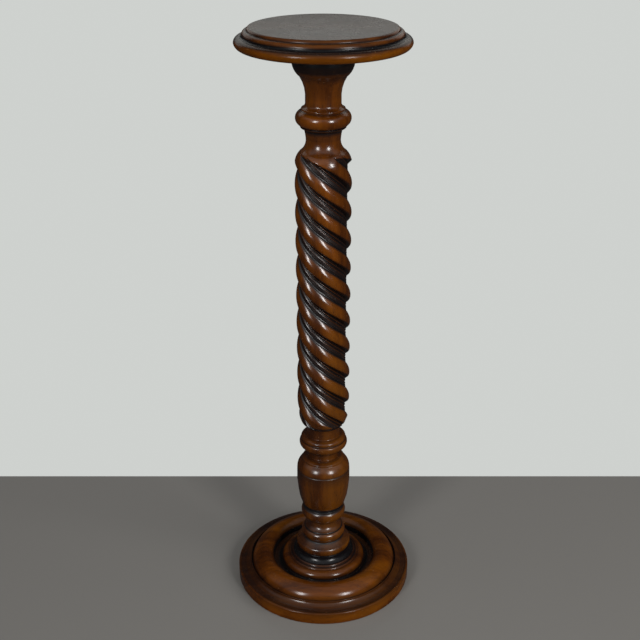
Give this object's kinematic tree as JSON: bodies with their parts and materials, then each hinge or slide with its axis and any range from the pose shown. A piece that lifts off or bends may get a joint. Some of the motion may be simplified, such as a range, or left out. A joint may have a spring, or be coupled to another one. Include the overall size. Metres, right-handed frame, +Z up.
{
  "type": "pedestal",
  "caption": "turned wooden pedestal with a round moulded top, a barley-twist column with a ringed urn below it, and a dished round base",
  "frame": {"origin": "on the floor, under the middle of the base", "axes": "+Z runs up the pedestal's axis; -Y faces the viewer of the picture; +X is to that viewer's right"},
  "size_m": [0.3056, 0.3056, 0.9706],
  "materials": {
    "base": "dark stained wood under a worn satin lacquer",
    "column": "dark stained wood under a worn satin lacquer",
    "top": "dark stained wood under a worn satin lacquer"
  },
  "bodies": {
    "root": {"base": "base", "column": "column", "top": "top"}
  },
  "joints": []
}
